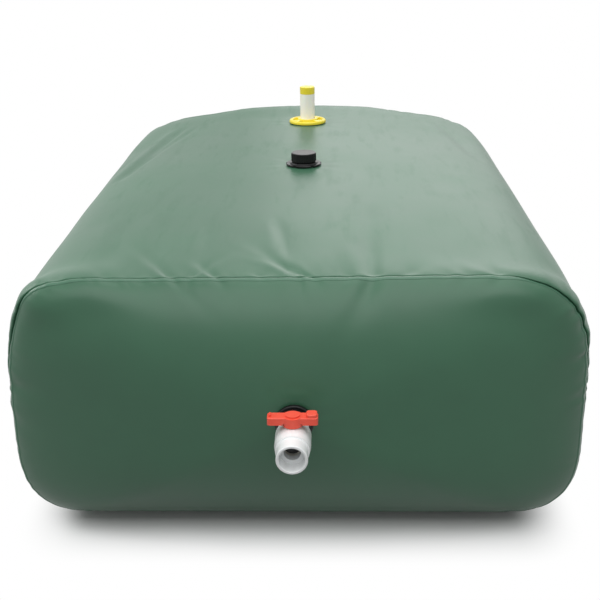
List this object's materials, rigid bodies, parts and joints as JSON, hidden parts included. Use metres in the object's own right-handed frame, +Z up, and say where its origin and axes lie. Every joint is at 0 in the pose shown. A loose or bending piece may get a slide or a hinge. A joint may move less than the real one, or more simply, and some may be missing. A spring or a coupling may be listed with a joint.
{
  "type": "collapsible water tank",
  "caption": "Filled pillow tank of coated fabric with a screw-cap filler and a capped vent tube on top, and a ball valve outlet on its front panel.",
  "frame": {"origin": "on the floor under the middle of the bag", "axes": "+Z up, -Y out of the outlet valve, +X across the tank to the right when facing the valve from the front"},
  "size_m": [1.0416, 1.7994, 0.5796],
  "materials": {
    "coated_fabric": "satin",
    "black_plastic": "satin",
    "rubber_seal": "matt",
    "white_plastic": "gloss",
    "seat_plastic": "satin",
    "red_plastic": "satin",
    "yellow_plastic": "satin",
    "milky_plastic": "satin"
  },
  "bodies": {
    "tank": {"tank_bladder": "coated_fabric", "outlet_flange": "black_plastic", "outlet_gasket": "rubber_seal", "outlet_backing_nut": "black_plastic", "outlet_nipple": "white_plastic", "valve_body": "white_plastic", "valve_end_socket": "white_plastic", "valve_end_seal": "rubber_seal", "valve_rear_seat": "seat_plastic", "valve_front_seat": "seat_plastic", "filler_neck": "black_plastic", "filler_gasket": "rubber_seal", "filler_backing_nut": "black_plastic", "vent_flange": "yellow_plastic", "vent_gasket": "rubber_seal", "vent_backing_nut": "yellow_plastic", "vent_tube": "milky_plastic"},
    "valve_key": {"valve_handle": "red_plastic", "valve_stem": "white_plastic", "valve_stem_seals": "rubber_seal", "valve_ball": "white_plastic"},
    "filler_seal": {"filler_cap_seal": "rubber_seal"},
    "filler_lid": {"filler_cap": "black_plastic"},
    "vent_lid": {"vent_cap": "yellow_plastic"}
  },
  "joints": [
    {"name": "valve_turn", "type": "hinge", "parent": "tank", "child": "valve_key", "pos_m": [0, -0.90208, 0.26], "axis": [0, 0, 1], "range_deg": [0, 90]},
    {"name": "filler_cap_lift", "type": "slide", "parent": "tank", "child": "filler_seal", "axis": [0, 0, 1], "range_m": [0, 0.048]},
    {"name": "filler_cap_turn", "type": "hinge", "parent": "filler_seal", "child": "filler_lid", "pos_m": [0, 0.02, 0.4815], "axis": [0, 0, 1], "range_deg": [0, 2880.5]},
    {"name": "vent_cap_pull", "type": "slide", "parent": "tank", "child": "vent_lid", "axis": [0, 0, 1], "range_m": [0, 0.045]}
  ],
  "couplings": [
    {"joint": "filler_cap_turn", "follows": "filler_cap_lift", "rad_per_m": 1047.2}
  ]
}
